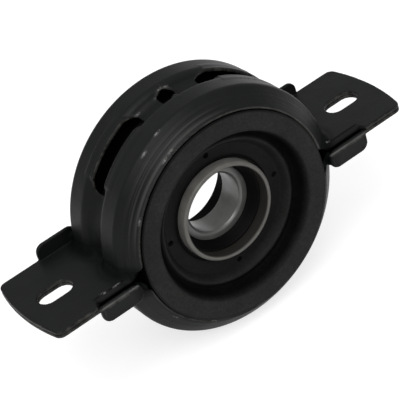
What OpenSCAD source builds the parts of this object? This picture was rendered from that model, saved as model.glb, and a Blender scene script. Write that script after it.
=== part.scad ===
// Driveshaft centre bearing: a ball bearing in a rubber cushion, held by two stamped half shells.
// The shaft runs along Y with the front at -Y, the ears reach out along X, and Z points up.

/* [Mounting ears] */
// Distance between the centres of the two ear slots
slot_spacing = 176; // [164:1:184]
// Width of an ear slot
slot_w = 11; // [9:0.5:13]
// Overall length of an ear slot
slot_len = 18.5; // [16:0.5:24]
// Width of the ears along the shaft
ear_w = 55.6; // [55:0.2:62]
// Distance from the shaft axis to the rounded end of an ear
ear_reach = 107; // [101:1:118]
// Corner radius at the end of an ear
ear_corner_r = 3; // [1:0.5:6]
// Radius of the bend between ear and ring
ear_bend_r = 5; // [3:0.5:7]

/* [Sheet and tabs] */
// Thickness of the stamped sheet
plate_t = 2; // [1.5:0.1:2.4]
// Distance from the shaft axis to the outer end of a turned-out tab
tab_reach = 80; // [74:0.5:84]
// Height of a tab above the plane where the shells meet
tab_h = 9.8; // [8.8:0.1:13]
// Inside radius of the tab's bend
tab_bend_r = 4.3; // [3:0.1:5]
// Corner radius of a tab
tab_corner_r = 4.6; // [1:0.2:5]
// Angle of the fold that follows the other shell's tab
fold_angle = 30; // [15:1:40]

/* [Ring of the shells] */
// Place of the ring's middle along Y, measured from the middle of the ears
ring_y = 1.2; // [-1.2:0.1:1.2]
// Outer radius of the two ring bulges
barrel_r = 62.8; // [58:0.1:66]
// Distance of a bulge's outer end from the ring's middle
barrel_h = 17.4; // [16:0.1:19]
// Depth of the waist between the bulges
waist_d = 4.8; // [2:0.1:6]
// Half length of the waist's floor
waist_h = 4; // [3:0.5:6]
// Half length between the bulges' inner ends
waist_edge_h = 7; // [6:0.5:11]
// Width of an end face, from the bulge in to the lip that holds the cushion
face_w = 9.6; // [7:0.2:10]
// Distance of the lip's face from the ring's middle
lip_h = 27.8; // [26:0.2:28.4]
// Width of the lip's flat face
lip_flat = 1.4; // [1:0.2:3]
// Radius of the bends in the ring's section
ring_bend_r = 2.5; // [1.5:0.5:3.5]

/* [Windows] */
// Half width of a window along the shaft
window_h = 5.2; // [3:0.1:7]
// Length of the window at the top, measured round the waist
top_window_len = 9; // [6:0.5:12]
// Angle from the top at which a side window starts
side_window_from = 17; // [14:1:24]
// Angle from the top at which a side window ends
side_window_to = 56; // [40:1:60]
// Corner radius of the windows
window_corner_r = 2.4; // [0.8:0.2:3]

/* [Cushion] */
// Gap between the cushion and the shells
cushion_gap = 0.2; // [0.1:0.05:0.4]
// Depth of the cushion's recess behind the windows, below the waist of the shells
recess_d = 5.5; // [2:0.5:7]
// Distance of the cushion's outer bead from the ring's middle
bead_h = 28.6; // [26.5:0.1:29]
// Inner radius of the outer bead
bead_r = 42; // [40.5:0.5:44]
// Depth of the groove inside the bead, from the bead's face
groove_d = 15; // [8:1:18]
// Width of the groove at its mouth
groove_w = 3.4; // [2:0.2:4.4]
// Distance of the ridge beside the groove from the ring's middle
ridge_h = 22.8; // [19:0.2:24]
// Distance of the inner disc from the ring's middle
disc_h = 17.4; // [14.4:0.2:18]
// Width of the ridge's crest
ridge_w = 1.6; // [1:0.2:2]
// Slope of each groove wall, from its mouth to its floor
groove_taper = 0.4; // [0.2:0.1:0.8]
// Radius of the bead's outer edge
bead_edge_r = 2.2; // [1:0.2:3]
// Radius of the bead's inner edge, beside the groove
bead_inner_r = 4; // [1:0.2:5]
// Depth of the foot beside the sleeve's collar
foot_d = 1.2; // [0.6:0.2:2]
// Width of the foot beside the sleeve's collar
foot_w = 1; // [0.6:0.1:1.4]
// Radius of the disc's flat part
disc_r = 33; // [31:0.5:34]
// Radius of the circle of the four mould dimples
dimple_circle_r = 31.4; // [29:0.2:32]
// Diameter of a mould dimple
dimple_d = 1.8; // [1:0.2:2.4]
// Depth of a mould dimple
dimple_depth = 1.2; // [0.5:0.1:2]

/* [Carrier sleeve] */
// Step from the inner ring's land out to the sleeve's two collars, which the seals fill
collar_step = 3.6; // [3:0.1:4.2]
// Wall of the sleeve
sleeve_t = 2.4; // [1.6:0.1:2.8]
// Distance from the bearing's middle to the collar's rim
collar_h = 20; // [18:0.5:22]
// Outside radius of the sleeve's bends
sleeve_outer_bend_r = 2; // [1:0.2:2.2]
// Inside radius of the sleeve's bends
sleeve_inner_bend_r = 0.6; // [0.3:0.1:0.8]

/* [Ball bearing] */
// Place of the bearing's middle along Y
bearing_y = -1; // [-2:0.1:2]
// Diameter of the bore for the shaft
bore_d = 30; // [27:0.5:31]
// Width of the inner ring
inner_ring_w = 16; // [15:0.5:18]
// Distance from the circle of the ball centres in to the inner ring's land
inner_land_gap = 2.05; // [1.6:0.05:2.5]
// Chamfer at the ends of the bore
bore_chamfer = 1.2; // [0.5:0.1:1.5]
// Chamfer at the corners of the two rings, apart from the bore
ring_chamfer = 0.5; // [0.2:0.1:0.8]
// Outer diameter of the outer ring
outer_ring_d = 55; // [54:0.5:58]
// Width of the outer ring
outer_ring_w = 13; // [12:0.5:13.5]
// Distance from the circle of the ball centres out to the outer ring's land
outer_land_gap = 2.25; // [1.6:0.05:2.6]
// Diameter of a ball
ball_d = 7.1; // [6.5:0.1:7.4]
// Number of balls
ball_count = 11; // [7:1:11]
// Gap between a ball and its track
ball_gap = 0.1; // [0.05:0.01:0.15]
// Gap between a ball and its cage pocket
pocket_gap = 0.2; // [0.1:0.05:0.3]
// Thickness of the cage's sheet
cage_t = 0.7; // [0.5:0.1:0.8]
// Width of the cage's ribbon across the balls' circle
cage_w = 3; // [2.4:0.1:3.2]
// Diameter of a cage rivet
rivet_d = 1.2; // [0.8:0.1:1.4]
// Height of a rivet's head
rivet_head_h = 0.4; // [0.2:0.1:0.6]
// Diameter of a rivet's head
rivet_head_d = 2; // [1.6:0.1:2.2]

/* [Seals] */
// Sheet of the seal's steel case
seal_case_t = 0.8; // [0.6:0.1:1]
// Length of the seal's seat in the collar
seal_seat_h = 6.6; // [5:0.2:8]
// Gap between the outer ring and the seal
seal_setback = 0.5; // [0.3:0.1:0.8]
// Running gap between the seal's lip and the inner ring
seal_gap = 0.1; // [0.05:0.01:0.2]
// Reach of the seal's lip inside its case
seal_lip_reach = 1.2; // [0.8:0.1:1.6]

/* [Hidden] */
$fn = 96;
ball_names = [for (i = [1:ball_count]) str("ball_", i)];

// Colours
paint_black = [0.13, 0.13, 0.14];
rubber_black = [0.1, 0.1, 0.1];
bright_steel = [0.78, 0.78, 0.76];
grey_steel = [0.6, 0.6, 0.58];
cage_steel = [0.7, 0.66, 0.55];

// Ring of the shells
waist_r = barrel_r - waist_d;
lip_r = barrel_r - face_w;
// Sheet bends on the ears: the tab's bend, and the other shell's fold laid round it
bend_y = ear_w/2 - plate_t - tab_bend_r;
bend_axis_z = plate_t + tab_bend_r;
// Inner end of the tabs and folds, under the ring's end face
fold_x = lip_r + lip_flat;
ear_corner_x = sqrt((ear_reach - ear_corner_r)^2 - (ear_w/2 - ear_corner_r)^2);
// Bend between an ear and the ring at a radius: distance of its axis from the shaft
function ear_bend_x(r) = sqrt((r + ear_bend_r)^2 - (plate_t + ear_bend_r)^2);
// Room that the cuts take past the sheet
cut = 1;
// How far a round bend runs into the face that it blends into
bite = 0.1;

// Bearing
pitch_r = (bore_d + outer_ring_d)/4;
inner_land_r = pitch_r - inner_land_gap;
outer_land_r = pitch_r + outer_land_gap;
seat_r = outer_ring_d/2;
seat_h = outer_ring_w/2;
collar_r = inner_land_r + collar_step;
ball_r = ball_d/2;
track_r = ball_r + ball_gap;
pocket_r = ball_r + pocket_gap;
pocket_step = 360/ball_count;

// Points of an arc about a centre
function arc(c, r, from, to, steps = 6) =
    [for (i = [0:steps]) let (a = from + (to - from)*i/steps) c + r*[cos(a), sin(a)]];
// Unit direction from one point to another
function toward(a, b) = (b - a)/norm(b - a);
// Unit normal of a path at one of its points, on its left side
function path_normal(path, i) =
    let (n = len(path),
         d = toward(path[max(i - 1, 0)], path[min(i + 1, n - 1)]))
    [-d.y, d.x];
// A path with its round corners: each inner point is replaced by an arc of radius r
function rounded(path, r, steps = 4) =
    [path[0],
     for (i = [1:len(path) - 2])
         let (u = toward(path[i], path[i - 1]),
              v = toward(path[i], path[i + 1]),
              half = acos(u*v)/2,
              reach = r/tan(half),
              c = path[i] + toward([0, 0], u + v)*r/sin(half),
              p = path[i] + u*reach,
              q = path[i] + v*reach,
              a0 = atan2(p.y - c.y, p.x - c.x),
              a1 = atan2(q.y - c.y, q.x - c.x),
              turn = a1 - a0 > 180 ? a1 - a0 - 360 : a1 - a0 < -180 ? a1 - a0 + 360 : a1 - a0)
         each arc(c, r, a0, a0 + turn, steps),
     path[len(path) - 1]];
// A path moved to its right side by a distance
function inset(path, d) = [for (i = [0:len(path) - 1]) path[i] - d*path_normal(path, i)];
function mirrored(path) = [for (i = [len(path) - 1:-1:0]) [path[i].x, -path[i].y]];
// A path that ends in the middle, followed by its mirror image
function both_halves(path) = concat(path, mirrored([for (i = [0:len(path) - 2]) path[i]]));

// Outer surface of the ring's section, from the front lip to the rear one, as [radius, front]
front_face = [[lip_r, lip_h], [lip_r + lip_flat, lip_h], [barrel_r, barrel_h + plate_t]];
waist = [[barrel_r, waist_edge_h], [waist_r, waist_h], [waist_r, 0]];
ring_path = both_halves(rounded(concat(front_face, waist), ring_bend_r));

// Turns a section of [radius, front] into a ring about the shaft
module about_shaft(from = 0, sweep = 360) {
    rotate([90, 0, 0]) rotate([0, 0, from]) rotate_extrude(angle = sweep) children();
}
module bearing_place() {
    translate([0, bearing_y, 0]) children();
}
module both_ears() {
    children();
    mirror([1, 0, 0]) children();
}
module both_bulges() {
    children();
    mirror([0, 1, 0]) children();
}
// Extrudes a section of [x, z] along the shaft, between two distances to the rear of the middle
module along_shaft(from, to) {
    translate([0, to, 0]) rotate([90, 0, 0]) linear_extrude(to - from) children();
}

// Outline of one ear with its slot, from the ring to its rounded end
module ear_outline() {
    difference() {
        union() {
            intersection() {
                circle(ear_reach, $fn = 180);
                translate([0, -ear_w/2 + ear_corner_r]) square([ear_reach, ear_w - 2*ear_corner_r]);
            }
            translate([0, -ear_w/2]) square([ear_corner_x, ear_w]);
            for (side = [-1, 1])
                translate([ear_corner_x, side*(ear_w/2 - ear_corner_r)]) circle(ear_corner_r);
        }
        translate([slot_spacing/2, 0]) slot_outline();
        for (side = [-1, 1])
            translate([0, side*(ear_w/4 + bend_y/2)]) square([2*tab_reach, ear_w/2 - bend_y], center = true);
    }
}
module slot_outline() {
    straight = slot_len - slot_w;
    square([straight, slot_w], center = true);
    for (side = [-1, 1])
        translate([side*straight/2, 0]) circle(d = slot_w);
}
// Extrudes a section of [y, z] along an ear, from the ring's end face to the tab's end
module along_ear() {
    translate([fold_x, 0, 0]) rotate([90, 0, 90]) linear_extrude(tab_reach - fold_x) children();
}
// Tab turned away from the other shell, at the rear of an ear
module tab() {
    outer_r = tab_bend_r + plate_t;
    intersection() {
        along_ear() difference() {
            intersection() {
                translate([bend_y - plate_t, 0]) square([outer_r + plate_t, tab_h]);
                union() {
                    translate([bend_y, bend_axis_z]) circle(outer_r);
                    translate([bend_y - plate_t, 0]) square([plate_t, plate_t]);
                    translate([bend_y, bend_axis_z]) square([outer_r, tab_h]);
                }
            }
            translate([bend_y, bend_axis_z]) circle(tab_bend_r);
            translate([bend_y - outer_r, plate_t]) square([outer_r, tab_h]);
            translate([bend_y, bend_axis_z]) square([tab_bend_r, tab_h]);
        }
        rotate([90, 0, 0]) linear_extrude(2*ear_w, center = true) {
            square([tab_reach - tab_corner_r, tab_h]);
            square([tab_reach, tab_h - tab_corner_r]);
            translate([tab_reach - tab_corner_r, tab_h - tab_corner_r]) circle(tab_corner_r);
        }
    }
}
// Fold at the front of an ear, laid over the other shell's tab
module fold() {
    inner_r = tab_bend_r + plate_t;
    outer_r = inner_r + plate_t;
    along_ear() {
        translate([-bend_y, 0]) square(plate_t);
        translate([-bend_y, -bend_axis_z]) intersection() {
            difference() {
                circle(outer_r);
                circle(inner_r);
            }
            polygon([[0, 0], [0, 2*outer_r], 2*outer_r*[-tan(fold_angle), 1]]);
        }
    }
}
// Section of the concave bend on top of an ear, where it runs up into the ring at a radius
module ear_bend(r) {
    axis_x = ear_bend_x(r);
    top = plate_t + ear_bend_r;
    foot_x = axis_x*r/(r + ear_bend_r) - plate_t;
    difference() {
        translate([foot_x, 0]) square([axis_x - foot_x, top]);
        translate([axis_x - bite, top - bite]) circle(ear_bend_r);
    }
}
// Section of the space under that bend, open between the two shells beside the cushion
module bend_gap(r) {
    axis_x = ear_bend_x(r);
    outer_r = ear_bend_r + plate_t;
    difference() {
        translate([0, -cut]) square([axis_x, outer_r + cut]);
        translate([axis_x - bite, outer_r - bite]) circle(outer_r);
    }
}
module ear_bends() {
    along_shaft(-waist_edge_h, waist_edge_h) ear_bend(waist_r);
    both_bulges() along_shaft(waist_edge_h, barrel_h) ear_bend(barrel_r);
}
module bend_gaps() {
    along_shaft(-waist_h, waist_h) bend_gap(waist_r);
    both_bulges() along_shaft(waist_edge_h + plate_t, barrel_h) bend_gap(barrel_r);
}
// One window punched through the ring, about an angle from the top, with round corners
module window(angle, length) {
    long_side = length - 2*window_corner_r;
    short_side = 2*(window_h - window_corner_r);
    rotate([0, angle, 0]) linear_extrude(barrel_r + cut) {
        square([length, short_side], center = true);
        square([long_side, 2*window_h], center = true);
        for (x = [-1, 1], y = [-1, 1])
            translate([x*long_side/2, y*short_side/2]) circle(window_corner_r);
    }
}
module windows() {
    side_len = 2*waist_r*sin((side_window_to - side_window_from)/2);
    window(0, top_window_len);
    for (side = [-1, 1])
        window(side*(side_window_from + side_window_to)/2, side_len);
}
// Space inside the ring, out to the sheet
module ring_room() {
    front_end = [[0, ear_w], [lip_r, ear_w]];
    about_shaft() polygon(concat(front_end, inset(ring_path, plate_t), mirrored(front_end)));
}
// One stamped half: ear, half ring, ear, with the ring's middle at a place along the shaft
module half_shell(ring_place) {
    core_r = lip_r - cut;
    difference() {
        union() {
            translate([0, ring_place, 0]) {
                about_shaft(0, 180) polygon(concat(ring_path, [[core_r, -lip_h], [core_r, lip_h]]));
                both_ears() ear_bends();
            }
            both_ears() {
                linear_extrude(plate_t) ear_outline();
                tab();
                fold();
            }
        }
        translate([0, ring_place, 0]) {
            ring_room();
            windows();
            both_ears() bend_gaps();
        }
        both_ears() along_shaft(-ear_w, ear_w) bend_gap(fold_x);
    }
}
module upper_shell() color(paint_black) half_shell(ring_y);
module lower_shell() color(paint_black) rotate([180, 0, 0]) half_shell(-ring_y);

// Carrier sleeve: sections are [radius, front], measured from the bearing's middle
rim_h = collar_h - sleeve_t/2;
sleeve_bend_r = min(sleeve_outer_bend_r, (seat_r - collar_r)/2 - bite);
sleeve_outside = rounded(
    [[collar_r + sleeve_t, rim_h], [collar_r + sleeve_t, seat_h + sleeve_t],
     [seat_r + sleeve_t, seat_h + sleeve_t], [seat_r + sleeve_t, -seat_h - sleeve_t],
     [collar_r + sleeve_t, -seat_h - sleeve_t], [collar_r + sleeve_t, -rim_h]], sleeve_bend_r);
sleeve_inside = rounded(
    [[collar_r, -rim_h], [collar_r, -seat_h], [seat_r, -seat_h],
     [seat_r, seat_h], [collar_r, seat_h], [collar_r, rim_h]], sleeve_inner_bend_r);
module carrier_sleeve() {
    rim_r = collar_r + sleeve_t/2;
    color(grey_steel) bearing_place() about_shaft()
        polygon(concat(sleeve_outside, arc([rim_r, -rim_h], sleeve_t/2, 0, -180),
                       sleeve_inside, arc([rim_r, rim_h], sleeve_t/2, 180, 0)));
}

// Face of the cushion as [radius, distance from the middle], from the sleeve out to the lip
ridge_r = bead_r - groove_w - ridge_w;
flank_a = 2*atan((ridge_h - disc_h)/(ridge_r - disc_r));
flank_r = (ridge_r - disc_r)/sin(flank_a);
groove_floor_h = bead_h - groove_d;
cushion_lip_r = lip_r - cushion_gap;
cushion_foot_h = disc_h - foot_d;
cushion_face = concat(
    [[collar_r + sleeve_t, cushion_foot_h], [collar_r + sleeve_t + foot_w, cushion_foot_h],
     [collar_r + sleeve_t + 2*foot_w, disc_h]],
    arc([disc_r, disc_h + flank_r], flank_r, -90, flank_a - 90, 8),
    arc([bead_r - groove_w - ridge_w/2, ridge_h], ridge_w/2, 150, 0, 6),
    [[bead_r - groove_w + groove_taper, groove_floor_h], [bead_r - groove_taper, groove_floor_h]],
    arc([bead_r + bead_inner_r, bead_h - bead_inner_r], bead_inner_r, 180, 90),
    arc([cushion_lip_r - bead_edge_r, bead_h - bead_edge_r], bead_edge_r, 90, 0));
module rubber_cushion() {
    bulge_side = inset(rounded(concat(front_face, [[barrel_r, waist_edge_h + plate_t]]), ring_bend_r),
                       plate_t + cushion_gap);
    recess_r = waist_r - plate_t - recess_d;
    shell_side = both_halves(concat(bulge_side, [[recess_r, waist_edge_h], [recess_r, 0]]));
    sleeve_side = [for (i = [len(sleeve_outside) - 2:-1:1]) sleeve_outside[i] + [0, ring_y - bearing_y]];
    dimple_h = disc_h - dimple_depth;
    color(rubber_black) translate([0, ring_y, 0]) difference() {
        about_shaft() polygon(concat(cushion_face, shell_side, mirrored(cushion_face), sleeve_side));
        for (a = [0:90:270])
            rotate([0, a, 0]) translate([dimple_circle_r, -dimple_h, 0]) rotate([90, 0, 0])
                cylinder(h = dimple_depth + cut, d = dimple_d, $fn = 24);
    }
}

// Section of a bearing ring with a ball track, its corners cut by a chamfer each
module ring_section(r0, r1, w, chamfer0, chamfer1) {
    difference() {
        polygon([[r0, w/2 - chamfer0], [r0 + chamfer0, w/2], [r1 - chamfer1, w/2], [r1, w/2 - chamfer1],
                 [r1, chamfer1 - w/2], [r1 - chamfer1, -w/2], [r0 + chamfer0, -w/2], [r0, chamfer0 - w/2]]);
        translate([pitch_r, 0]) circle(track_r);
    }
}
module outer_ring() {
    color(bright_steel) bearing_place() about_shaft()
        ring_section(outer_land_r, seat_r, outer_ring_w, ring_chamfer, 2*ring_chamfer);
}
module inner_ring() {
    color(bright_steel) bearing_place() about_shaft()
        ring_section(bore_d/2, inner_land_r, inner_ring_w, bore_chamfer, ring_chamfer);
}

// Places its children on the balls' circle, at a number of steps from one ball to the next
module at_step(step) {
    rotate([0, -step*pocket_step, 0]) translate([pitch_r, 0, 0]) children();
}
module ball(i) {
    color(bright_steel) bearing_place() at_step(i) sphere(ball_r);
}
// Half of the cage on the front side: a flat ribbon with a round pocket over each ball
module cage_half() {
    difference() {
        intersection() {
            union() {
                about_shaft() translate([pitch_r - cage_w/2, 0]) square([cage_w, cage_t]);
                pockets(pocket_r + cage_t, cage_w);
            }
            translate([-outer_ring_d, -outer_ring_d, -outer_ring_d])
                cube([2*outer_ring_d, outer_ring_d, 2*outer_ring_d]);
        }
        pockets(pocket_r, 2*cage_w);
        for (i = [1:ball_count])
            at_step(i + 0.5) rotate([90, 0, 0]) cylinder(h = 4*cage_t, d = rivet_d, center = true, $fn = 24);
    }
}
// Round pockets for the balls, each a cylinder that points at the shaft
module pockets(r, length) {
    for (i = [1:ball_count])
        at_step(i) rotate([0, 90, 0]) cylinder(h = length, r = r, center = true);
}
module front_cage_half() color(cage_steel) bearing_place() cage_half();
module rear_cage_half() color(cage_steel) bearing_place() mirror([0, 1, 0]) cage_half();
module cage_rivets() {
    color(cage_steel) for (i = [1:ball_count])
        bearing_place() at_step(i + 0.5) rotate([90, 0, 0]) {
            cylinder(h = 2*cage_t, d = rivet_d, center = true, $fn = 24);
            for (side = [-1, 1])
                translate([0, 0, side*(cage_t + rivet_head_h/2)])
                    cylinder(h = rivet_head_h, d = rivet_head_d, center = true, $fn = 24);
        }
}

// Seal in a collar, as [radius, distance from the bearing's middle]
seal_h = seat_h + seal_setback;
case_in_r = inner_land_r + seal_lip_reach;
case_wall_r = collar_r - seal_case_t;
case_wall_h = seal_h + seal_case_t + seal_seat_h/2;
module seal_case_section() {
    polygon([[case_in_r, seal_h], [collar_r, seal_h], [collar_r, case_wall_h], [case_wall_r, case_wall_h],
             [case_wall_r, seal_h + seal_case_t], [case_in_r, seal_h + seal_case_t]]);
}
module seal_lip_section() {
    tip_r = inner_land_r + seal_gap;
    end_h = seal_h + seal_seat_h;
    polygon([[case_in_r, seal_h], [case_in_r, seal_h + seal_case_t], [case_wall_r, seal_h + seal_case_t],
             [case_wall_r, case_wall_h], [collar_r, case_wall_h], [collar_r, end_h],
             [collar_r - seal_case_t, end_h], [tip_r + seal_lip_reach/2, seal_h + 2*seal_case_t],
             [tip_r, seal_h + seal_case_t], [tip_r, seal_h]]);
}
module front_seal_case() color(grey_steel) bearing_place() about_shaft() seal_case_section();
module front_seal_lip() color(rubber_black) bearing_place() about_shaft() seal_lip_section();
module rear_seal_case() {
    color(grey_steel) bearing_place() mirror([0, 1, 0]) about_shaft() seal_case_section();
}
module rear_seal_lip() {
    color(rubber_black) bearing_place() mirror([0, 1, 0]) about_shaft() seal_lip_section();
}

upper_shell();
lower_shell();
rubber_cushion();
carrier_sleeve();
outer_ring();
inner_ring();
front_cage_half();
rear_cage_half();
cage_rivets();
front_seal_case();
front_seal_lip();
rear_seal_case();
rear_seal_lip();
for (i = [1:ball_count])
    ball(i);
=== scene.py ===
# Driveshaft centre bearing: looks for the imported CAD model.
# Lengths are in millimetres up to the point where a mesh is made, which is in metres.
# The shaft runs along Y with the front at -Y, the ears reach out along X, and Z points up.
import math

import bpy
import numpy as np
from mathutils import Matrix


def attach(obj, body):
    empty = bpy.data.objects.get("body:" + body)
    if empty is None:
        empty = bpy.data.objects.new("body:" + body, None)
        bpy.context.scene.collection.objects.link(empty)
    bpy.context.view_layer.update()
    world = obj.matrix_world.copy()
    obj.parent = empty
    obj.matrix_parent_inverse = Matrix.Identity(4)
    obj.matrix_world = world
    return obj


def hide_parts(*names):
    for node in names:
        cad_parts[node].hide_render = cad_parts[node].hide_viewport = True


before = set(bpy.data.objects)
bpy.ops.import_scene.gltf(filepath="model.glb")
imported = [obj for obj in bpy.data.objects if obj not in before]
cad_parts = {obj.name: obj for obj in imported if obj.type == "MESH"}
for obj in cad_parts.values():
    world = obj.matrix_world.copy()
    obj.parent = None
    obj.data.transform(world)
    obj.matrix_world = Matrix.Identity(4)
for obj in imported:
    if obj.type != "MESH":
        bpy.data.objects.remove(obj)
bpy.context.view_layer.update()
MM = 0.001

# Camera at the photograph's viewing angle
camera_data = bpy.data.cameras.new("camera")
camera_data.sensor_width = 36
camera_data.lens = 163.7
camera_data.clip_start = 0.05
camera_data.clip_end = 20
camera = bpy.data.objects.new("camera", camera_data)
bpy.context.scene.collection.objects.link(camera)
camera.matrix_world = Matrix((
    (0.7805, 0.5187, -0.3491, -0.3079),
    (-0.5673, 0.3528, -0.7441, -0.6510),
    (-0.2628, 0.7788, 0.5696, 0.4978),
    (0, 0, 0, 1)))
bpy.context.scene.camera = camera
bpy.context.scene.view_settings.view_transform = "Standard"


# Ways to make meshes

def new_piece(name, verts, faces, normals=None):
    mesh = bpy.data.meshes.new(name)
    mesh.from_pydata(np.asarray(verts, dtype=float) * MM, [], np.asarray(faces))
    mesh.polygons.foreach_set("use_smooth", [True] * len(mesh.polygons))
    if normals is not None:
        mesh.normals_split_custom_set_from_vertices(np.asarray(normals, dtype=np.float32))
    piece = bpy.data.objects.new(name, mesh)
    bpy.context.scene.collection.objects.link(piece)
    return piece


def lathe(profile, angles):
    """A closed profile of (radius, y) points turned about the shaft, as vertices and quads."""
    profile = np.asarray(profile, dtype=float)
    count = len(profile)
    turns = len(angles)
    radius = profile[None, :, 0]
    x = radius * np.cos(angles)[:, None]
    z = radius * np.sin(angles)[:, None]
    y = np.broadcast_to(profile[None, :, 1], x.shape)
    verts = np.stack([x, y, z], axis=-1).reshape(-1, 3)
    i, j = np.meshgrid(np.arange(turns), np.arange(count), indexing="ij")
    i_next = (i + 1) % turns
    j_next = (j + 1) % count
    faces = np.stack([
        i * count + j,
        i * count + j_next,
        i_next * count + j_next,
        i_next * count + j], axis=-1).reshape(-1, 4)
    return verts, faces


# Distance fields: negative inside, in millimetres

def union_round(a, b, r):
    """Union of two fields with a concave round of radius r between them."""
    return np.maximum(r, np.minimum(a, b)) - np.hypot(np.maximum(r - a, 0), np.maximum(r - b, 0))


def cut_round(a, b, r):
    """Overlap of two fields with its outer edge rounded by r."""
    return np.minimum(-r, np.maximum(a, b)) + np.hypot(np.maximum(r + a, 0), np.maximum(r + b, 0))


def fade(value, start, end):
    """Smooth step from 0 at start to 1 at end."""
    t = np.clip((value - start) / (end - start), 0, 1)
    return t * t * (3 - 2 * t)


PULLS = 4
LEAST_SLOPE = 0.3


def surface(field, low, high, step):
    """Mesh of a field's zero surface: a vertex in each grid cell that it passes through, then pulled onto it."""
    axes = [np.arange(a, b + step, step) for a, b in zip(low, high)]
    value = field(*np.meshgrid(*axes, indexing="ij"))
    inside = value < 0
    cells = tuple(n - 1 for n in value.shape)
    corners = [(i, j, k) for i in (0, 1) for j in (0, 1) for k in (0, 1)]
    filled = np.zeros(cells, dtype=np.int8)
    for i, j, k in corners:
        filled += inside[i:i + cells[0], j:j + cells[1], k:k + cells[2]]
    cell = np.argwhere((filled > 0) & (filled < 8))
    index = np.full(cells, -1, dtype=np.int64)
    index[tuple(cell.T)] = np.arange(len(cell))
    total = np.zeros((len(cell), 3))
    crossings = np.zeros(len(cell))
    for corner in corners:
        for axis in range(3):
            if corner[axis]:
                continue
            start = cell + np.array(corner)
            end = start.copy()
            end[:, axis] += 1
            a = value[tuple(start.T)]
            b = value[tuple(end.T)]
            crossed = (a < 0) != (b < 0)
            share = np.where(crossed, a / np.where(crossed, a - b, 1), 0)
            point = start.astype(float)
            point[:, axis] += share
            total += point * crossed[:, None]
            crossings += crossed
    verts = np.array(low) + step * total / crossings[:, None]
    faces = []
    for axis in range(3):
        b, c = (axis + 1) % 3, (axis + 2) % 3
        first = np.take(inside, range(0, cells[axis]), axis=axis)
        second = np.take(inside, range(1, cells[axis] + 1), axis=axis)
        edge = np.argwhere(first != second)
        room = (edge[:, b] > 0) & (edge[:, c] > 0) & (edge[:, b] < cells[b]) & (edge[:, c] < cells[c])
        edge = edge[room]
        quad = []
        for back_b, back_c in ((0, 0), (1, 0), (1, 1), (0, 1)):
            near = edge.copy()
            near[:, b] -= back_b
            near[:, c] -= back_c
            quad.append(index[tuple(near.T)])
        quad = np.stack(quad, axis=-1)
        outward = first[tuple(edge.T)]
        quad[~outward] = quad[~outward][:, ::-1]
        faces.append(quad)
    normals = slope(field, verts)
    for _ in range(PULLS):
        size = np.linalg.norm(normals, axis=1)
        reach = np.clip(field(*verts.T) / np.maximum(size, LEAST_SLOPE), -step / 2, step / 2)
        verts = verts - normals / np.maximum(size, 1e-6)[:, None] * reach[:, None]
        normals = slope(field, verts)
    normals /= np.linalg.norm(normals, axis=1)[:, None]
    return verts, np.concatenate(faces), normals


def slope(field, points, step=0.05):
    """Gradient of a field at points."""
    out = np.zeros_like(points)
    for axis in range(3):
        shift = np.zeros(3)
        shift[axis] = step
        out[:, axis] = (field(*(points + shift).T) - field(*(points - shift).T)) / (2 * step)
    return out


# Half shells. The main values are those of the CAD source. Tabs, folds, window corners and
# the lips' ends follow the photograph more closely.
PLATE_T = 2.0
EAR_REACH = 107.0
EAR_HALF_W = 27.8
EAR_CORNER_R = 3.0
EAR_BEND_R = 5.0
SLOT_X = 88.0
SLOT_HALF_LEN = 3.75
SLOT_R = 5.5
TAB_REACH = 80.4
TAB_H = 9.8
TAB_FROM = 57.2
TAB_BEND_R = 0.3
TAB_CORNER_R = 4.6
CREASE_Y = 21.6
FOLD_ANGLE = math.radians(21)
FOLD_REACH = 25.6
FOLD_GAP = 0.1
RING_Y = 1.2
BARREL_R = 62.8
FACE_H = 19.4
WAIST_R = 58.0
WAIST_H = 4.0
WAIST_EDGE_H = 7.0
LIP_R = 53.2
LIP_FLAT = 1.0
LIP_H = 27.8
WINDOW_H = 5.2
WINDOW_CORNER_R = 1.8
TOP_WINDOW = (0.0, 4.5)
SIDE_WINDOW = (math.radians(36.5), 19.6)
WINDOW_EASE = (-5.5, 1.8)
EDGE_R = 0.6
FACE_R = 0.9
LIP_EDGE_R = 0.5
WAIST_BEND_R = 2.0
OPEN_BEND_LOSS = 1.4
WAIST_OVERLAP = 4
FOLD_R = 0.35
TAB_EDGE_R = 0.4
FOLD_FADE = (76, 83)
FOLD_DROP = (78, 83)
FOLD_END = (79.5, 82.5)
FOLD_FROM_R = 57
CORNER_FRONT_Y = 22
CORNER_REAR_Y = 24.6
FAR_OFF = 50.0
SHELL_LOW = (-108.5, -30.1, -2.6)
SHELL_HIGH = (108.5, 30.1, 64.3)
SHELL_STEP = 0.67


def line_field(r, h, a, b):
    """Distance from a straight line in the ring's section, positive on the left of a to b."""
    length = math.hypot(b[0] - a[0], b[1] - a[1])
    return ((b[0] - a[0]) * (h - a[1]) - (b[1] - a[1]) * (r - a[0])) / length


def ring_field(r, y, opening):
    """Outside of the ring: two bulges, a cone at each end, and a waist that isn't drawn in beside a window."""
    h = np.abs(y)
    cone = -line_field(r, h, (BARREL_R, FACE_H), (LIP_R + LIP_FLAT, LIP_H))
    outer = cut_round(r - BARREL_R, cone, FACE_R)
    outer = cut_round(outer, h - LIP_H, LIP_EDGE_R)
    flank = line_field(r, h, (BARREL_R, WAIST_EDGE_H), (WAIST_R, WAIST_H))
    bulge = cut_round(outer, flank, WAIST_BEND_R)
    waist = np.maximum(r - WAIST_R - (BARREL_R - WAIST_R) * opening, h - WAIST_EDGE_H - WAIST_OVERLAP)
    return union_round(bulge, waist, WAIST_BEND_R - OPEN_BEND_LOSS * opening)


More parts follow.
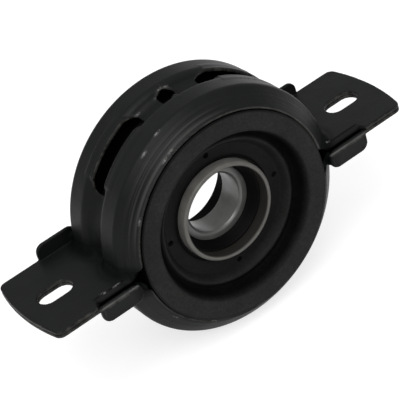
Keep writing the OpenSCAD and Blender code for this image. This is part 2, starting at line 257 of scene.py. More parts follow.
def ear_field(x, y, z):
    """Top of an ear's sheet: flat, with a tab at the rear and a fold at the front, which runs out at its end."""
    reach = np.abs(x)
    flat = z - PLATE_T
    end = cut_round(z - TAB_H, np.maximum(reach - TAB_REACH, TAB_FROM - reach), TAB_CORNER_R)
    tab = cut_round(EAR_HALF_W - PLATE_T - y, end, TAB_EDGE_R)
    rear = union_round(flat, tab, TAB_BEND_R)
    angle = FOLD_ANGLE * (1 - fade(reach, *FOLD_FADE))
    fold = flat * np.cos(angle) - (y + CREASE_Y) * np.sin(angle) - fade(reach, *FOLD_DROP)
    front = cut_round(flat, fold, FOLD_R)
    return np.where(y > 0, rear, front)


def fold_edge(x, y):
    """Front edge of an ear, drawn back along the fold."""
    return -y - FOLD_REACH - (EAR_HALF_W - FOLD_REACH + 1) * fade(np.abs(x), *FOLD_END)


def other_tab(y, z):
    """Outside of the other half's tab, which the fold is laid over with a gap."""
    gap = FOLD_GAP * fade(-y, CREASE_Y - 2, CREASE_Y + 1)
    return cut_round(z, -y - EAR_HALF_W, TAB_BEND_R + PLATE_T) - gap


def lip_corner(x, y, z):
    """Corners taken off the ring's ends at the lip, which leave a dark three-sided gap between the halves."""
    reach = np.abs(x)
    front = (50.6 - 0.85 * reach - z) / 1.31
    out = np.maximum(TAB_FROM + TAB_CORNER_R - reach, 0)
    up = np.maximum(TAB_CORNER_R - z, 0)
    rear = np.minimum(np.hypot(out, up) - TAB_CORNER_R, (48.8 - 0.757 * reach - z) / 1.25)
    return np.where(y < 0, np.minimum(front, -CORNER_FRONT_Y - y), np.minimum(rear, y - CORNER_REAR_Y))


def slot_field(x, y):
    return np.hypot(np.maximum(np.abs(np.abs(x) - SLOT_X) - SLOT_HALF_LEN, 0), y) - SLOT_R


def window_across(x, z):
    """Distance along the ring from the middle of each window, with the window's half length."""
    for angle, half in (TOP_WINDOW, SIDE_WINDOW):
        side = np.abs(x) if angle else x
        yield np.abs(side * math.cos(angle) - z * math.sin(angle)), half


def window_opening(x, z):
    """1 beside a window and 0 on the webs between them."""
    opening = np.zeros(x.shape)
    for across, half in window_across(x, z):
        opening = np.maximum(opening, 1 - fade(across, half + WINDOW_EASE[0], half + WINDOW_EASE[1]))
    return opening


def window_field(x, y, z):
    """Nearest of the three windows punched through the ring."""
    best = np.full(x.shape, FAR_OFF)
    for across, half in window_across(x, z):
        du = across - (half - WINDOW_CORNER_R)
        dv = np.abs(y) - (WINDOW_H - WINDOW_CORNER_R)
        box = np.hypot(np.maximum(du, 0), np.maximum(dv, 0)) + np.minimum(np.maximum(du, dv), 0)
        best = np.minimum(best, box - WINDOW_CORNER_R)
    return best


def ear_outline(x, y):
    return cut_round(np.hypot(x, y) - EAR_REACH, np.abs(y) - EAR_HALF_W, EAR_CORNER_R)


def half_shell_field(x, y, z, ring_y):
    """One stamped half: ear, half ring, ear, with the ring's middle at a place along the shaft."""
    r = np.hypot(x, z)
    ring = ring_field(r, y - ring_y, window_opening(x, z))
    blend = EAR_BEND_R - 3.8 * fade(y, 14, 20) * fade(z, 5, 9)
    top = union_round(ring, ear_field(x, y, z), blend)
    sheet = np.maximum(top, -(top + PLATE_T))
    sheet = np.maximum(sheet, np.where(y < -CREASE_Y + 2, -other_tab(y, z), -FAR_OFF))
    sheet = cut_round(sheet, ear_outline(x, y), EDGE_R)
    sheet = cut_round(sheet, -slot_field(x, y), EDGE_R)
    sheet = cut_round(sheet, -window_field(x, y - ring_y, z), EDGE_R)
    sheet = cut_round(sheet, np.minimum(fold_edge(x, y), r - FOLD_FROM_R), EDGE_R)
    sheet = cut_round(sheet, lip_corner(x, y, z), EDGE_R)
    return cut_round(sheet, LIP_R - r, EDGE_R)


def edge_wear(points, ring_y):
    """How near a point is to a cut edge of the sheet, where the paint is thin: 1 at the edge."""
    x, y, z = points.T
    outline = np.where(z > 3, FAR_OFF, np.abs(ear_outline(x, y)))
    slot = np.abs(slot_field(x, y))
    window = np.abs(window_field(x, y - ring_y, z))
    nearest = np.minimum(np.minimum(outline, slot), window)
    return 1 - fade(nearest, 0.1, 1.0)


def painted_lip_highlight(points, ring_y):
    """Painted highlight: 1 on the narrow front of the ring's lip, which is drawn lighter there."""
    x, y, z = points.T
    near_edge = 1 - fade(np.hypot(x, z), LIP_R + 0.7, LIP_R + 1.2)
    return near_edge * fade(np.abs(y - ring_y), LIP_H - 1.2, LIP_H - 0.6)


def tab_place(points):
    """Place round a tab's outer bend in degrees, 0 on the ear and 90 on the tab, and 1 along the tab's length."""
    x, y, z = points.T
    bend_r = TAB_BEND_R + PLATE_T
    turn = np.degrees(np.arctan2(y - EAR_HALF_W + bend_r, bend_r - z))
    reach = np.abs(x)
    along = fade(reach, TAB_FROM - 1, TAB_FROM + 2) * (1 - fade(reach, TAB_REACH - 2, TAB_REACH + 1))
    return turn, along


def tab_bend_highlight(points, ring_y):
    """Painted highlight: 1 on the outer bend of a tab, drawn as a light line."""
    turn, along = tab_place(points)
    outside = 1 - fade(points[:, 2], 1.8, 2.4)
    return fade(turn, 40, 55) * (1 - fade(turn, 60, 78)) * along * outside


def fold_shade(points, ring_y):
    """1 in the narrow gap between a fold and the other half's tab, which is dark."""
    x, y, z = points.T
    turn, along = tab_place(points)
    on_tab = (y > 20) * (z < 0.9) * (1 - fade(turn, 8, 28)) * along
    on_ear = (z < PLATE_T + 0.3) * along
    on_fold = fade(-y, 23.4, 25.4) * on_ear
    crease = 0.75 * (1 - fade(np.abs(-y - CREASE_Y), 0.15, 0.6)) * on_ear
    return np.maximum(np.maximum(on_tab, on_fold), crease)


# Small light marks: chipped paint, and painted glints on creases and edges, on the front bulge, the folds, the lip
# and the windows
UPPER_CHIPS_AND_GLINTS = [
    (-20.8, -18.4, 58.8), (-30.7, -19.2, 53.4),
    (-66.7, -21.8, 2.0), (-73.8, -21.5, 2.0), (62.2, -21.8, 2.7),
    (-46.9, -26.1, 27.9), (-20.8, -25.7, 51.1), (-25.1, -25.8, 48.9),
    (-16.8, 5.6, 56.5), (-4.4, 5.6, 59.5), (-1.0, 6.6, 61.6), (2.5, 6.6, 61.0)]
LOWER_CHIPS_AND_GLINTS = [(-45.8, 25.5, 31.1), (-28.1, 26.5, 45.8), (-62.9, 27.0, 1.2)]
CHIP_ACROSS = 1.5
CHIP_ALONG = 0.4


def chips_and_glints(points, ring_y):
    """1 on a few small light marks, chipped paint and painted glints, drawn out along the ring or the ear."""
    best = np.zeros(len(points))
    for place in UPPER_CHIPS_AND_GLINTS if ring_y > 0 else LOWER_CHIPS_AND_GLINTS:
        centre = np.array(place)
        along = np.array([centre[2], 0, -centre[0]]) / math.hypot(centre[0], centre[2])
        if abs(centre[0]) > TAB_FROM:
            along = np.array([1.0, 0, 0])
        away = points - centre
        away = CHIP_ACROSS * away - (CHIP_ACROSS - CHIP_ALONG) * np.outer(away @ along, along)
        best = np.maximum(best, 1 - fade(np.linalg.norm(away, axis=1), 0.3, 1.1))
    return best


def drawn_lines_and_sheen(points, ring_y):
    """1 on the upper left of the front cone, where drawing has left lines; the light lines there are a painted
    reflection.
    """
    x, y, z = points.T
    angle = np.degrees(np.arctan2(-x, z))
    place = fade(angle, -20, 12) * (1 - fade(angle, 48, 85)) * (1 - fade(np.hypot(x, z), 58.5, 61))
    return (ring_y > 0) * place * fade(-y, 20, 22)


def low_cone(points, ring_y):
    """1 low on the front of the lower half, which is duller than the rest."""
    x, y, z = points.T
    return (ring_y < 0) * fade(y, 8, 24) * fade(z, 0, 46)


def corner_shade(points, ring_y):
    """Painted shade: 1 in the inside corner between the ring and an ear, which is drawn darker."""
    x, y, z = points.T
    ring = ring_field(np.hypot(x, z), y - ring_y, window_opening(x, z))
    ear = ear_field(x, y, z)
    return (1 - fade(ring, 0, 9)) * (1 - fade(ear, 0, 9))


def half_shell(name, node, ring_y, turn):
    """One half shell, made the right way up and turned to its place."""
    verts, faces, normals = surface(
        lambda x, y, z: half_shell_field(x, y, z, ring_y), SHELL_LOW, SHELL_HIGH, SHELL_STEP)
    shell = new_piece(name, verts * turn, faces, normals * turn)
    layers = {
        "wear": edge_wear, "lip_highlight": painted_lip_highlight, "tab_bend_highlight": tab_bend_highlight, "shade": fold_shade,
        "chip_glint": chips_and_glints, "streak_sheen": drawn_lines_and_sheen, "low": low_cone, "corner": corner_shade}
    for key, values in layers.items():
        layer = shell.data.attributes.new(key, "FLOAT", "POINT")
        layer.data.foreach_set("value", values(verts, ring_y))
    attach(shell, "housing")
    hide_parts(node)
    return shell


upper_shell = half_shell("upper_half_shell", "upper_shell", RING_Y, np.array([1, 1, 1]))
lower_shell = half_shell("lower_half_shell", "lower_shell", -RING_Y, np.array([1, -1, -1]))


# Turned pieces, with the values of the CAD source. The rear collar and the rubber's groove follow the photograph.

def arc(centre, r, start, end, steps):
    """Points of an arc about a centre, in degrees."""
    angles = np.radians(np.linspace(start, end, steps + 1))
    return [(centre[0] + r * math.cos(a), centre[1] + r * math.sin(a)) for a in angles]


def rounded(path, r, steps=6):
    """A path whose inner corners are replaced by arcs of radius r."""
    return rounded_each([(*p, r) for p in path], steps)


def rounded_each(path, steps=6):
    """A path of (radius, front, round) points whose inner corners are replaced by arcs."""
    points = [np.array(p[:2], dtype=float) for p in path]
    out = [points[0]]
    for before, corner, after, r in zip(points, points[1:], points[2:], [p[2] for p in path[1:]]):
        u = (before - corner) / np.linalg.norm(before - corner)
        v = (after - corner) / np.linalg.norm(after - corner)
        half = math.acos(float(np.clip(u @ v, -1, 1))) / 2
        centre = corner + (u + v) / np.linalg.norm(u + v) * r / math.sin(half)
        start = corner + u * r / math.tan(half) - centre
        end = corner + v * r / math.tan(half) - centre
        a0 = math.atan2(start[1], start[0])
        turn = (math.atan2(end[1], end[0]) - a0 + math.pi) % (2 * math.pi) - math.pi
        for k in range(steps + 1):
            a = a0 + turn * k / steps
            out.append(centre + r * np.array([math.cos(a), math.sin(a)]))
    out.append(points[-1])
    return [tuple(p) for p in out]


def spread(path, longest):
    """A path with extra points, so that no step is longer than a length."""
    out = [path[0]]
    for a, b in zip(path, path[1:]):
        parts = max(1, math.ceil(math.dist(a, b) / longest))
        for k in range(1, parts + 1):
            out.append((a[0] + (b[0] - a[0]) * k / parts, a[1] + (b[1] - a[1]) * k / parts))
    return out


def swell(stations, steps):
    """A soft wave through crests and valleys, level at each of them."""
    out = []
    for (r0, h0), (r1, h1) in zip(stations, stations[1:]):
        for k in range(steps):
            share = k / steps
            out.append((r0 + (r1 - r0) * share, h0 + (h1 - h0) * fade(share, 0, 1)))
    return out + [stations[-1]]


def mirrored(path):
    return [(r, -h) for r, h in reversed(path)]


def turned_piece(name, profile, node, body, sharp):
    """A profile of (radius, front) points turned about the shaft, standing for a CAD node."""
    verts, faces = lathe([(r, -h) for r, h in profile], ROUND)
    piece = new_piece(name, verts, faces)
    set_sharp(piece, sharp)
    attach(piece, body)
    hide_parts(node)
    return piece


def set_sharp(piece, angle):
    """Keeps the edges that turn by more than an angle sharp, and shades the rest smooth."""
    piece.data.set_sharp_from_angle(angle=math.radians(angle))


SEGMENTS = 256
ROUND = np.linspace(0, 2 * math.pi, SEGMENTS, endpoint=False)
BEARING_Y = -1.0
BORE_R = 15.0
SEAT_R = 27.5
SEAT_H = 6.5
COLLAR_R = 22.8
SLEEVE_T = 2.4
RIM_H = 18.8
REAR_RIM_H = 21.4
INNER_LAND_R = 19.2
PITCH_R = 21.25
TRACK_R = 3.65


def at_bearing(profile):
    """Moves a profile from the bearing's middle to its place along the shaft."""
    return [(r, h - BEARING_Y) for r, h in profile]


# Carrier sleeve: a tube rolled in at both ends to two collars with round rims
sleeve_out = COLLAR_R + SLEEVE_T
sleeve_outside = rounded(
    [(sleeve_out, RIM_H), (sleeve_out, SEAT_H + SLEEVE_T), (SEAT_R + SLEEVE_T, SEAT_H + SLEEVE_T),
     (SEAT_R + SLEEVE_T, -SEAT_H - SLEEVE_T), (sleeve_out, -SEAT_H - SLEEVE_T), (sleeve_out, -REAR_RIM_H)], 2.0)
sleeve_inside = rounded(
    [(COLLAR_R, -REAR_RIM_H), (COLLAR_R, -SEAT_H), (SEAT_R, -SEAT_H),
     (SEAT_R, SEAT_H), (COLLAR_R, SEAT_H), (COLLAR_R, RIM_H)], 0.6)
rim_r = COLLAR_R + SLEEVE_T / 2
sleeve_profile = (
    sleeve_outside[:-1] + arc((rim_r, -REAR_RIM_H), SLEEVE_T / 2, 0, -180, 14)
    + sleeve_inside[1:-1] + arc((rim_r, RIM_H), SLEEVE_T / 2, 180, 0, 14)[:-1])
sleeve = turned_piece("bearing_sleeve", at_bearing(sleeve_profile), "carrier_sleeve", "housing", 60)

# Inner ring of the ball bearing
half_w = 8.0
track = arc((PITCH_R, 0), TRACK_R, 214.2, 145.8, 12)
inner_profile = (
    [(BORE_R, 6.8), (BORE_R + 0.12, 7.0), (BORE_R + 1.0, 7.88), (BORE_R + 1.2, half_w)]
    + [(INNER_LAND_R - 0.5, half_w), (INNER_LAND_R - 0.15, 7.85), (INNER_LAND_R, 7.5)])
inner_profile = inner_profile + list(reversed(track)) + mirrored(inner_profile)
inner_ring = turned_piece(
    "bearing_inner_ring", at_bearing(inner_profile), "inner_ring", "inner_race", 30)

# Seal lips: black rubber cones between the collars and the inner ring
SEAL_H = 7.0
CASE_T = 0.8
case_in = INNER_LAND_R + 1.2
case_wall = COLLAR_R - CASE_T
case_top = SEAL_H + CASE_T + 3.3
tip = INNER_LAND_R + 0.1
lip_front = rounded(
    [(COLLAR_R, SEAL_H + 6.6), (case_wall, SEAL_H + 6.6),
     (tip + 0.6, SEAL_H + 2 * CASE_T), (tip, SEAL_H + CASE_T)], 0.3, 4)
lip_profile = (
    [(tip, SEAL_H), (case_in, SEAL_H), (case_in, SEAL_H + CASE_T), (case_wall, SEAL_H + CASE_T),
     (case_wall, case_top), (COLLAR_R, case_top)] + lip_front)
front_lip = turned_piece("front_seal", at_bearing(lip_profile), "front_seal_lip", "housing", 50)
rear_lip = turned_piece("rear_seal", at_bearing(mirrored(lip_profile)), "rear_seal_lip", "housing", 50)

# Rubber cushion: outer bead, soft groove, ridge and inner disc on each side, with four mould dimples in front
BEAD_H = 28.6
BEAD_IN_R = 43.4
BEAD_EDGE_R = 0.8
BEAD_SIDE = 3.0
DISC_H = 17.4
FOOT_H = DISC_H - 1.2
CORE_R = 50.0
LIP_GAP = 0.2
DIMPLE_CIRCLE_R = 31.6
DIMPLE_R = 1.35
DIMPLE_DEPTH = 2.0
bead_out = LIP_R - LIP_GAP
disc_face = [(r, DISC_H) for r in np.arange(30.2, 33.01, 0.15)]
wave = swell([(33.1, DISC_H), (37.0, 21.7), (39.2, 20.8), (BEAD_IN_R, BEAD_H)], 16)
bead_edge = rounded([(BEAD_IN_R, BEAD_H), (bead_out, BEAD_H), (bead_out, BEAD_H - BEAD_SIDE)], BEAD_EDGE_R)[1:]
foot = [
    (sleeve_out, FOOT_H), (26.0, FOOT_H), (26.4, FOOT_H + 0.1),
    (26.9, DISC_H - 0.3), (27.3, DISC_H), (28.6, DISC_H)]
face_profile = foot + disc_face + wave + spread(bead_edge, 1.2)
room = PLATE_T + LIP_GAP
shell_side = spread(
    [(bead_out, BEAD_H - BEAD_SIDE), (bead_out, LIP_H - room), (53.6, LIP_H - room), (BARREL_R - room, FACE_H - 1.0),
     (BARREL_R - room, WAIST_EDGE_H + 2.0), (CORE_R, WAIST_EDGE_H), (CORE_R, -WAIST_EDGE_H),
     (BARREL_R - room, -WAIST_EDGE_H - 2.0), (BARREL_R - room, 1.0 - FACE_H),
     (53.6, room - LIP_H), (bead_out, room - LIP_H), (bead_out, BEAD_SIDE - BEAD_H)], 3.0)[1:-1]
sleeve_side = [(r, h + RING_Y - BEARING_Y) for r, h in reversed(sleeve_outside[1:-1])]
cushion_profile = face_profile + shell_side + mirrored(face_profile) + sleeve_side
fine = np.radians(np.linspace(-2.8, 2.8, 29))
turns = [ROUND]
for quarter in range(4):
    turns.append((fine + quarter * math.pi / 2) % (2 * math.pi))
cushion_turns = np.unique(np.round(np.concatenate(turns), 6))
cushion_verts, cushion_faces = lathe([(r, -h) for r, h in cushion_profile], cushion_turns)
for quarter in range(4):
    a = quarter * math.pi / 2
    away_x = cushion_verts[:, 0] - DIMPLE_CIRCLE_R * math.cos(a)
    away_z = cushion_verts[:, 2] - DIMPLE_CIRCLE_R * math.sin(a)
    away = np.hypot(away_x, away_z)
    on_disc = np.abs(cushion_verts[:, 1] + DISC_H) < 0.01
    cushion_verts[on_disc, 1] += (DIMPLE_DEPTH * (1 - fade(away, 0.8, DIMPLE_R + 0.15)))[on_disc]
cushion_verts[:, 1] += RING_Y
cushion = new_piece("cushion", cushion_verts, cushion_faces)
set_sharp(cushion, 55)
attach(cushion, "housing")
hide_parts("rubber_cushion")


# Materials

class Surface:
    """A material with its node tree, and short ways to add nodes to it."""

    def __init__(self, name):
        self.material = bpy.data.materials.new(name)
        self.material.use_nodes = True
        self.tree = self.material.node_tree
        self.shader = self.tree.nodes["Principled BSDF"]
        self.place = self.tree.nodes.new("ShaderNodeTexCoord").outputs["Object"]

    def link(self, source, target):
        self.tree.links.new(source, target)

    def set(self, **values):
        for key, value in values.items():
            self.shader.inputs[key].default_value = value

    def noise(self, scale, detail=4, roughness=0.55, stretch=None):
        """Value noise in the object's own space. The scale is in patches per metre."""
        node = self.tree.nodes.new("ShaderNodeTexNoise")
        node.inputs["Scale"].default_value = scale
        node.inputs["Detail"].default_value = detail
        node.inputs["Roughness"].default_value = roughness
        source = self.place
        if stretch is not None:
            mapping = self.tree.nodes.new("ShaderNodeMapping")
            mapping.inputs["Scale"].default_value = stretch
            self.link(self.place, mapping.inputs["Vector"])
            source = mapping.outputs["Vector"]
        self.link(source, node.inputs["Vector"])
        return node.outputs["Fac"]

    def ramp(self, source, stops):
        """Colour ramp through (place, colour or grey) stops."""
        node = self.tree.nodes.new("ShaderNodeValToRGB")
        points = node.color_ramp.elements
        while len(points) < len(stops):
            points.new(0.5)
        for point, (where, colour) in zip(points, stops):
            point.position = where
            if not isinstance(colour, tuple):
                colour = (colour, colour, colour)
            point.color = (*colour, 1)
        self.link(source, node.inputs["Fac"])
        return node.outputs["Color"]

    def math(self, kind, a, b=None):
        node = self.tree.nodes.new("ShaderNodeMath")
        node.operation = kind
        for socket, value in zip(node.inputs, (a, b)):
            if value is None:
                continue
            if isinstance(value, (int, float)):
                socket.default_value = value
            else:
                self.link(value, socket)
        return node.outputs["Value"]

    def mix(self, factor, a, b):
        """Colour mix of two sockets or colours."""
        node = self.tree.nodes.new("ShaderNodeMix")
        node.data_type = "RGBA"
        self.link(factor, node.inputs["Factor"])
        for key, value in ((6, a), (7, b)):
            if isinstance(value, tuple):
                node.inputs[key].default_value = (*value, 1)
            else:
                self.link(value, node.inputs[key])
        return node.outputs[2]

    def product(self, a, b):
        """One colour times another."""
        node = self.tree.nodes.new("ShaderNodeMix")
        node.data_type = "RGBA"
        node.blend_type = "MULTIPLY"
        node.inputs["Factor"].default_value = 1
        self.link(a, node.inputs[6])
        self.link(b, node.inputs[7])
        return node.outputs[2]

    def span(self, source, low, high):
        """Maps 0 to 1 onto low to high."""
        node = self.tree.nodes.new("ShaderNodeMapRange")
        node.inputs["To Min"].default_value = low
        node.inputs["To Max"].default_value = high
        self.link(source, node.inputs["Value"])
        return node.outputs["Result"]

    def attribute(self, name):
        node = self.tree.nodes.new("ShaderNodeAttribute")
        node.attribute_name = name
        return node.outputs["Fac"]

    def radius(self):
        """Distance from the shaft axis, in metres."""
        split = self.tree.nodes.new("ShaderNodeSeparateXYZ")
        self.link(self.place, split.inputs["Vector"])
        squares = [self.math("MULTIPLY", split.outputs[k], split.outputs[k]) for k in ("X", "Z")]
        return self.math("SQRT", self.math("ADD", *squares))

    def ring_noise(self, scale):
        """Noise in rings about the shaft."""
        place = self.tree.nodes.new("ShaderNodeCombineXYZ")
        self.link(self.radius(), place.inputs["X"])
        self.link(self.math("MULTIPLY", self.noise(12, 1, 0.5), 0.004), place.inputs["Y"])
        node = self.tree.nodes.new("ShaderNodeTexNoise")
        node.inputs["Scale"].default_value = scale
        node.inputs["Detail"].default_value = 3
        self.link(place.outputs["Vector"], node.inputs["Vector"])
        return node.outputs["Fac"]

    def rings(self, scale):
        """Noise in rings, strong on the cones and none on the ears."""
        near = self.ramp(self.math("DIVIDE", self.radius(), 0.1), [(0.57, 1.0), (0.62, 0.0)])
        return self.math("MULTIPLY", self.ring_noise(scale), near)

    def bump(self, source, strength, distance, below=None):
        node = self.tree.nodes.new("ShaderNodeBump")
        node.inputs["Strength"].default_value = strength
        node.inputs["Distance"].default_value = distance
        self.link(source, node.inputs["Height"])
        if below is not None:
            self.link(below, node.inputs["Normal"])
        return node.outputs["Normal"]


def paint():
    """Satin black paint on pressed steel, thin on the cut edges, with drawing lines and chipped paint; painted
    highlights on the lip and the tabs' outer bends, painted reflection in the drawing lines, painted glints among
    the chipped spots, and painted shade in inner corners and the folds' gaps.
    """
    s = Surface("shell_paint")
    s.set(Metallic=0.0)
    blotch = s.noise(45, 5, 0.6)
    colour = s.ramp(blotch, [(0.3, (0.0058, 0.0064, 0.0064)), (0.7, (0.0088, 0.0095, 0.0094))])
    wear = s.math("MULTIPLY", s.attribute("wear"), s.noise(260, 3, 0.7))
    thin = s.ramp(wear, [(0.38, 0.0), (0.7, 1.0)])
    colour = s.mix(thin, colour, (0.06, 0.058, 0.052))
    # Painted highlight on the narrow front of the lip, broken up by noise
    patchy = s.ramp(s.noise(110, 4, 0.6), [(0.3, 0.25), (0.6, 1.0)])
    lip_lit = s.math("MULTIPLY", s.attribute("lip_highlight"), patchy)
    colour = s.mix(lip_lit, colour, (0.075, 0.075, 0.07))
    # Painted shade in the inside corners between the ring and the ears
    corner = s.attribute("corner")
    colour = s.mix(corner, colour, (0.004, 0.0048, 0.0046))
    # Lines from drawing on the upper left of the cone; the light ones there are a painted reflection
    streak_sheen = s.attribute("streak_sheen")
    lines = s.ring_noise(640)
    reflection_lines = s.math("MULTIPLY", streak_sheen, s.ramp(lines, [(0.47, 0.0), (0.6, 0.8)]))
    colour = s.mix(reflection_lines, colour, (0.055, 0.055, 0.053))
    dark_lines = s.math("MULTIPLY", streak_sheen, s.ramp(lines, [(0.36, 0.9), (0.44, 0.0)]))
    colour = s.mix(dark_lines, colour, (0.003, 0.003, 0.003))
    shade = s.attribute("shade")
    colour = s.mix(shade, colour, (0.0008, 0.0008, 0.0008))
    # Painted highlight along the tabs' outer bends, broken up by noise
    uneven = s.ramp(s.noise(60, 3, 0.5), [(0.38, 0.15), (0.56, 1.0)])
    bend = s.math("MULTIPLY", s.attribute("tab_bend_highlight"), uneven)
    colour = s.mix(bend, colour, (0.13, 0.13, 0.125))
    # Light marks: chipped paint, and painted glints on creases and edges
    ragged = s.ramp(s.noise(900, 2, 0.6), [(0.4, 0.05), (0.58, 1.0)])
    chip_glint = s.math("MULTIPLY", s.attribute("chip_glint"), ragged)
    colour = s.mix(chip_glint, colour, (0.2, 0.2, 0.195))
    s.link(colour, s.shader.inputs["Base Color"])
    dull = s.math("MULTIPLY", s.attribute("low"), 0.8)
    matt = s.math("MAXIMUM", s.math("MAXIMUM", corner, shade), dull)
    s.link(s.span(matt, 0.15, 0.0), s.shader.inputs["Specular IOR Level"])
    s.link(s.span(s.noise(120, 4, 0.6), 0.38, 0.5), s.shader.inputs["Roughness"])
    peel = s.bump(s.noise(900, 2, 0.5), 0.12, 0.0004)
    drawn = s.bump(s.rings(420), 1.0, 0.0006, peel)
    s.link(s.bump(s.noise(70, 3, 0.5), 0.25, 0.0012, drawn), s.shader.inputs["Normal"])
    return s.material


def rubber(name, tones, rough):
    """Matt black moulded rubber with a fine bloom, in tones of grey that follow (radius, tone) stops; for the
    cushion these hold painted shade too.
    """
    s = Surface(name)
    s.set(Metallic=0.0)
    reach = tones[-1][0]
    place = s.math("DIVIDE", s.radius(), reach * MM)
    tone = s.ramp(place, [(r / reach, level) for r, level in tones])
    bloom = s.ramp(s.noise(60, 6, 0.7), [(0.3, (0.66, 0.66, 0.64)), (0.72, (1.34, 1.33, 1.3))])
    grain = s.ramp(s.noise(900, 2, 0.6), [(0.35, 0.78), (0.65, 1.25)])
    s.link(s.product(s.product(tone, bloom), grain), s.shader.inputs["Base Color"])
    gloss = [(37.4, 0.11), (38.8, 0.015), (41.6, 0.015), (43.6, 0.12), (52.8, 0.12), (53.05, 0.0)]
    s.link(s.ramp(place, [(r / reach, level) for r, level in gloss]), s.shader.inputs["Specular IOR Level"])
    s.link(s.span(s.noise(300, 4, 0.6), rough - 0.08, rough + 0.08), s.shader.inputs["Roughness"])
    s.link(s.bump(s.noise(1500, 3, 0.6), 0.25, 0.0003), s.shader.inputs["Normal"])
    return s.material


def steel(name, low, high, rough, rings, depth, metal=1.0):
    """Turned or ground steel, with fine rings about the shaft."""
    s = Surface(name)
    s.set(Metallic=metal)
    stain = s.noise(120, 5, 0.6)
    s.link(s.ramp(stain, [(0.3, low), (0.7, high)]), s.shader.inputs["Base Color"])
    s.link(s.span(s.noise(400, 3, 0.6), rough - 0.05, rough + 0.05), s.shader.inputs["Roughness"])
    s.link(s.bump(s.noise(rings, 3, 0.6, (0.02, 1, 0.02)), depth, 0.0002), s.shader.inputs["Normal"])
    return s.material


def collar_steel():
    """Dull grey steel of the sleeve, darker inside its collars and darkest inside the rear one."""
    s = Surface("sleeve_steel")
    s.set(Metallic=0.15)
    stain = s.ramp(s.noise(120, 5, 0.6), [(0.3, (0.125, 0.122, 0.113)), (0.7, (0.175, 0.172, 0.16))])
    reach = COLLAR_R + SLEEVE_T
    place = s.math("DIVIDE", s.radius(), reach * MM)
    inside = s.ramp(place, [((COLLAR_R + 0.15) / reach, 1.0), ((COLLAR_R + 0.7) / reach, 0.0)])
    outside = s.ramp(place, [(0.975, 1.0), (0.998, 1.7)])
    split = s.tree.nodes.new("ShaderNodeSeparateXYZ")
    s.link(s.place, split.inputs["Vector"])
    rear = s.math("GREATER_THAN", split.outputs["Y"], 0.0)
    inside_tone = s.ramp(rear, [(0.0, (0.022, 0.021, 0.018)), (1.0, (0.0015, 0.0015, 0.0015))])
    s.link(s.span(rear, 0.3, 0.03), s.shader.inputs["Specular IOR Level"])
    s.link(s.mix(inside, s.product(stain, outside), inside_tone), s.shader.inputs["Base Color"])
    s.link(s.span(s.noise(400, 3, 0.6), 0.42, 0.55), s.shader.inputs["Roughness"])
    s.link(s.bump(s.noise(900, 3, 0.6, (0.02, 1, 0.02)), 0.1, 0.0002), s.shader.inputs["Normal"])
    return s.material


def give(piece, material):
    piece.data.materials.clear()
    piece.data.materials.append(material)


shell_paint = paint()
# Cushion tones by radius: painted shade darkens the inner disc, the groove beside the bead, the bead's outer edge
# and the rubber behind the lip
CUSHION_TONES_AND_SHADE = [
    (25.0, 0.005), (33.0, 0.006), (36.4, 0.014), (37.6, 0.01), (39.2, 0.0036),
    (41.4, 0.0032), (44.4, 0.018), (51.7, 0.018), (52.4, 0.003), (53.1, 0.001)]
cushion_rubber = rubber("cushion_rubber", CUSHION_TONES_AND_SHADE, 0.6)
seal_rubber = rubber("seal_rubber", [(0.0, 0.0016), (53.1, 0.0016)], 0.6)
sleeve_steel = collar_steel()
ring_steel = steel("ring_steel", (0.13, 0.13, 0.127), (0.19, 0.19, 0.184), 0.34, 2500, 0.08, 0.4)
ball_steel = steel("ball_steel", (0.66, 0.66, 0.65), (0.72, 0.72, 0.71), 0.12, 2500, 0.02)
cage_steel = steel("cage_steel", (0.42, 0.38, 0.3), (0.55, 0.5, 0.4), 0.35, 900, 0.1)
case_steel = steel("seal_case_steel", (0.4, 0.4, 0.39), (0.5, 0.5, 0.48), 0.38, 900, 0.1)
give(upper_shell, shell_paint)
give(lower_shell, shell_paint)
give(cushion, cushion_rubber)
give(sleeve, sleeve_steel)
give(inner_ring, ring_steel)
give(front_lip, seal_rubber)
give(rear_lip, seal_rubber)
finishes = {
    "outer_ring": ring_steel, "front_cage_half": cage_steel, "rear_cage_half": cage_steel,
    "cage_rivets": cage_steel, "front_seal_case": case_steel, "rear_seal_case": case_steel}
BALLS = 11
for i in range(1, BALLS + 1):
    finishes[f"ball_{i}"] = ball_steel
for name, material in finishes.items():
    for material_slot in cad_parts[name].material_slots:
        material_slot.material = material


# Floor, world and lamps

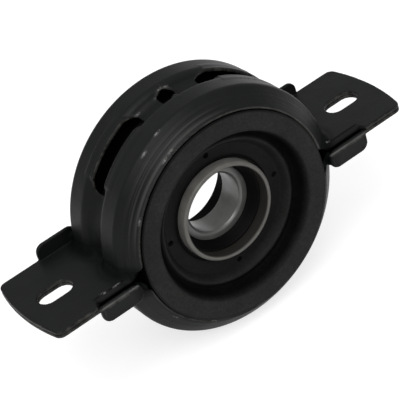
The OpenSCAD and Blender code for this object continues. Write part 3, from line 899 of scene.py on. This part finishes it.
def floor_material():
    """Pale floor that the camera and reflections see as white, and that keeps the object's shadow."""
    material = bpy.data.materials.new("floor_white")
    material.use_nodes = True
    tree = material.node_tree
    tree.nodes.clear()
    out = tree.nodes.new("ShaderNodeOutputMaterial")
    diffuse = tree.nodes.new("ShaderNodeBsdfDiffuse")
    diffuse.inputs["Color"].default_value = (0.5, 0.5, 0.5, 1)
    glow = tree.nodes.new("ShaderNodeEmission")
    glow.inputs["Color"].default_value = (1, 1, 1, 1)
    path = tree.nodes.new("ShaderNodeLightPath")
    seen = path.outputs["Is Camera Ray"]
    for key in ("Is Glossy Ray", "Is Transmission Ray"):
        either = tree.nodes.new("ShaderNodeMath")
        either.operation = "MAXIMUM"
        tree.links.new(seen, either.inputs[0])
        tree.links.new(path.outputs[key], either.inputs[1])
        seen = either.outputs["Value"]
    level = tree.nodes.new("ShaderNodeMath")
    level.operation = "MULTIPLY"
    level.inputs[1].default_value = 0.72
    tree.links.new(seen, level.inputs[0])
    tree.links.new(level.outputs["Value"], glow.inputs["Strength"])
    both = tree.nodes.new("ShaderNodeAddShader")
    tree.links.new(diffuse.outputs["BSDF"], both.inputs[0])
    tree.links.new(glow.outputs["Emission"], both.inputs[1])
    tree.links.new(both.outputs["Shader"], out.inputs["Surface"])
    return material


floor_mesh = bpy.data.meshes.new("floor")
FLOOR_Z = -0.0632
FLOOR_HALF = 6.0
floor_mesh.from_pydata(
    [(-FLOOR_HALF, -FLOOR_HALF, FLOOR_Z), (FLOOR_HALF, -FLOOR_HALF, FLOOR_Z),
     (FLOOR_HALF, FLOOR_HALF, FLOOR_Z), (-FLOOR_HALF, FLOOR_HALF, FLOOR_Z)], [], [(0, 1, 2, 3)])
floor_mesh.materials.append(floor_material())
floor = bpy.data.objects.new("floor", floor_mesh)
bpy.context.scene.collection.objects.link(floor)

world = bpy.data.worlds.new("studio")
bpy.context.scene.world = world
world.use_nodes = True
sky = world.node_tree.nodes["Background"]
sky.inputs["Strength"].default_value = 1
world_place = world.node_tree.nodes.new("ShaderNodeTexCoord")
world_split = world.node_tree.nodes.new("ShaderNodeSeparateXYZ")
world_ramp = world.node_tree.nodes.new("ShaderNodeValToRGB")
for point, (where, level) in zip(world_ramp.color_ramp.elements, ((0.0, 0.34), (1.0, 0.62))):
    point.position = where
    point.color = (level, level, level, 1)
world.node_tree.links.new(world_place.outputs["Generated"], world_split.inputs["Vector"])
world.node_tree.links.new(world_split.outputs["Z"], world_ramp.inputs["Fac"])
world.node_tree.links.new(world_ramp.outputs["Color"], sky.inputs["Color"])


def lamp(name, place, aim, size, power):
    """Soft square lamp at a place, turned to a point, in metres."""
    data = bpy.data.lights.new(name, "AREA")
    data.size = size
    data.energy = power
    light = bpy.data.objects.new(name, data)
    bpy.context.scene.collection.objects.link(light)
    light.location = place
    away = (light.location - type(light.location)(aim)).normalized()
    light.rotation_euler = away.to_track_quat("Z", "Y").to_euler()


lamp("main_lamp", (-0.35, -0.55, 1.1), (0, 0, 0), 0.9, 9)
lamp("back_lamp", (1.0, 0.8, 0.12), (0, 0, 0), 0.8, 0.9)
